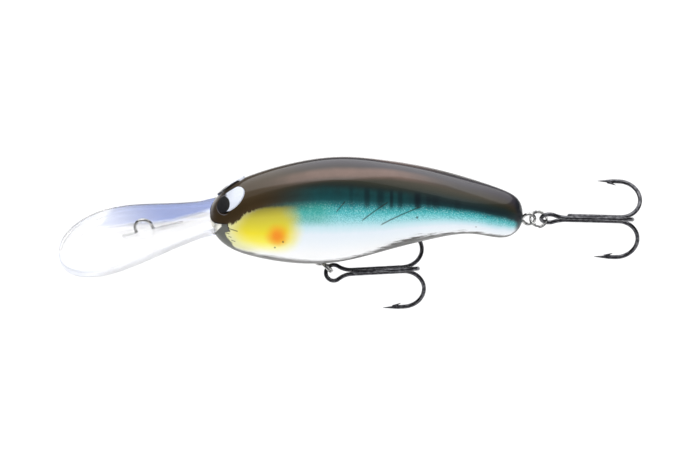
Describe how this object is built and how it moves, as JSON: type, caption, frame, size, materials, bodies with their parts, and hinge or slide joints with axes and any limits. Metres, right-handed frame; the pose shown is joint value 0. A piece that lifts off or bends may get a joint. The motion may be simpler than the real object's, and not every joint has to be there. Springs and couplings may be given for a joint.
{
  "type": "crankbait lure",
  "caption": "Deep-diving fish-shaped lure: hollow two-shell body with rolling casting weights, long clear diving lip with a wire line tie, and treble hooks on split rings.",
  "frame": {"origin": "middle of the line tie's loop on the diving lip", "axes": "+X from the line tie towards the tail, +Z towards the fish's back, +Y towards the fish's right side; Y = 0 is the seam between the shells"},
  "size_m": [0.1495, 0.0278, 0.0442],
  "materials": {
    "painted_shell": "gloss lacquer over airbrushed teal, bronze back and pearl belly",
    "clear_lip": "clear moulded polycarbonate",
    "eye_white": "gloss white with a black pupil",
    "bright_wire": "bright stainless wire",
    "ring_steel": "nickel plate",
    "black_nickel": "black nickel plate",
    "lead": "dull cast metal",
    "ball_steel": "polished steel"
  },
  "bodies": {
    "hull": {"body_shell_left": "painted_shell", "body_shell_right": "painted_shell", "diving_lip": "clear_lip", "line_tie_wire": "bright_wire", "eye_left": "eye_white", "eye_right": "eye_white", "belly_hanger_wire": "bright_wire", "tail_hanger_wire": "bright_wire", "belly_weight": "lead"},
    "belly_ring": {"belly_split_ring": "ring_steel"},
    "tail_ring": {"tail_split_ring": "ring_steel"},
    "belly_treble": {"belly_treble_double_hook": "black_nickel", "belly_treble_single_hook": "black_nickel"},
    "tail_treble": {"tail_treble_double_hook": "black_nickel", "tail_treble_single_hook": "black_nickel"},
    "casting_ball_front": {"casting_ball_front": "ball_steel"},
    "casting_ball_rear": {"casting_ball_rear": "ball_steel"},
    "rattle_ball": {"rattle_ball": "ball_steel"}
  },
  "joints": [
    {"name": "belly_ring_swing", "type": "hinge", "parent": "hull", "child": "belly_ring", "pos_m": [0.0451, 0, -0.0102], "axis": [0, -0.8192, 0.5736], "range_deg": [-80, 8]},
    {"name": "belly_hook_swing", "type": "hinge", "parent": "belly_ring", "child": "belly_treble", "pos_m": [0.04793, -0.00178, -0.01274], "axis": [0, -0.8192, 0.5736], "range_deg": [-80, 5]},
    {"name": "tail_ring_swing", "type": "hinge", "parent": "hull", "child": "tail_ring", "pos_m": [0.09875, 0, 0.0025], "axis": [0, 0.9063, 0.4226], "range_deg": [-45, 45]},
    {"name": "tail_hook_swing", "type": "hinge", "parent": "tail_ring", "child": "tail_treble", "pos_m": [0.10295, 0, 0.0025], "axis": [0, 0.9063, 0.4226], "range_deg": [-60, 60]},
    {"name": "casting_ball_front_roll", "type": "slide", "parent": "hull", "child": "casting_ball_front", "axis": [1, 0, 0], "range_m": [0, 0.0258]},
    {"name": "casting_ball_rear_roll", "type": "slide", "parent": "hull", "child": "casting_ball_rear", "axis": [1, 0, 0], "range_m": [0, 0.0258]},
    {"name": "rattle_ball_slide", "type": "slide", "parent": "hull", "child": "rattle_ball", "axis": [0, 1, 0], "range_m": [-0.0029, 0.0029]}
  ],
  "couplings": [
    {"joint": "casting_ball_rear_roll", "follows": "casting_ball_front_roll", "ratio": 1}
  ]
}
